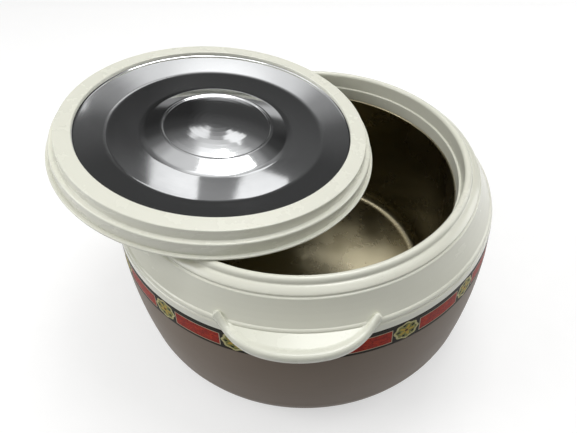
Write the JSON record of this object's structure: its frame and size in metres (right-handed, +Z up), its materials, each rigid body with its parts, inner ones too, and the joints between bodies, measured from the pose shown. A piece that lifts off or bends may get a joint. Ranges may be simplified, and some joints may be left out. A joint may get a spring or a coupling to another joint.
{
  "type": "insulated casserole",
  "caption": "Round insulated casserole with steel bowl, banded plastic shell, half-moon handles and a loose lid lying upside down across the rim.",
  "frame": {"origin": "centre of the foot ring's flat, on the table, on the pot's axis", "axes": "+Z up along the pot's axis; the two handles lie along -Y and +Y; the loose lid is slid towards -X"},
  "size_m": [0.2733, 0.262, 0.1562],
  "materials": {
    "shell_plastic": "satin moulded plastic, taupe",
    "printed_band": "printed film, red field with gold and black ornament",
    "foam": "rigid foam",
    "bowl_steel": "fine brushed stainless steel",
    "collar_plastic": "satin moulded plastic, cream white",
    "handle_plastic": "satin moulded plastic, cream white",
    "zinc_screws": "zinc plated",
    "cap_plastic": "moulded plastic, taupe",
    "lid_plastic": "satin moulded plastic, warm cream",
    "plate_steel": "mirror polished stainless steel"
  },
  "bodies": {
    "pot": {"outer_shell": "shell_plastic", "decor_band": "printed_band", "body_foam": "foam", "inner_bowl": "bowl_steel", "collar": "collar_plastic", "handle_front": "handle_plastic", "handle_back": "handle_plastic", "handle_screws": "zinc_screws", "base_cap": "cap_plastic"},
    "lid": {"lid_ring": "lid_plastic", "lid_cover": "lid_plastic", "lid_plate": "plate_steel", "lid_foam": "foam", "lid_knob": "lid_plastic", "knob_screw": "zinc_screws"}
  },
  "joints": [
    {"name": "lid_lift", "type": "slide", "parent": "pot", "child": "lid", "axis": [0, 0, 1], "range_m": [0, 0.15]}
  ]
}
